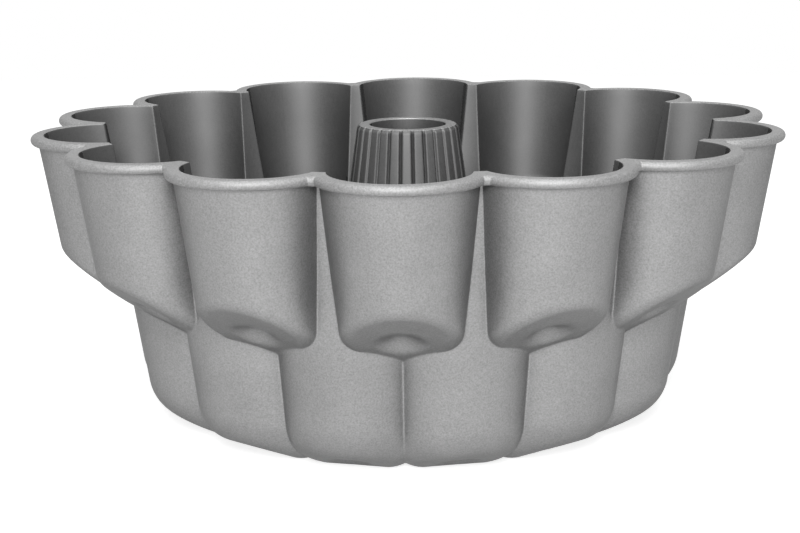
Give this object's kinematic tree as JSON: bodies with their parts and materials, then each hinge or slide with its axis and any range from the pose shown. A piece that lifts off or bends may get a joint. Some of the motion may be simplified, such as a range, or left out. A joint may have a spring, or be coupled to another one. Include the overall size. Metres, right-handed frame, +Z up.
{
  "type": "tiered fluted tube cake pan",
  "caption": "Cast aluminium ring-cake pan with stepped tiers of leaning round flutes, a sloped thumbprinted ledge between them, a beaded scalloped rim and a ribbed open centre tube.",
  "frame": {"origin": "on the pan's axis, in the plane of the flat ring that the pan rests on", "axes": "+Z up the centre tube towards the open rim; one upper flute faces -Y and another +Y, and the front of the picture is -Y"},
  "size_m": [0.2582, 0.2634, 0.1045],
  "materials": {
    "bead_metal": "satin silver finish on cast metal, machined flat on top",
    "cast_metal": "satin silver finish, lightly speckled over the cast skin, dark non-stick coating inside",
    "inner_metal": "smooth grey non-stick coating"
  },
  "bodies": {
    "root": {"rim_bead": "bead_metal", "upper_flutes": "cast_metal", "shoulder": "cast_metal", "lower_flutes": "cast_metal", "crown": "cast_metal", "floor_ring": "inner_metal", "centre_tube": "inner_metal"}
  },
  "joints": []
}
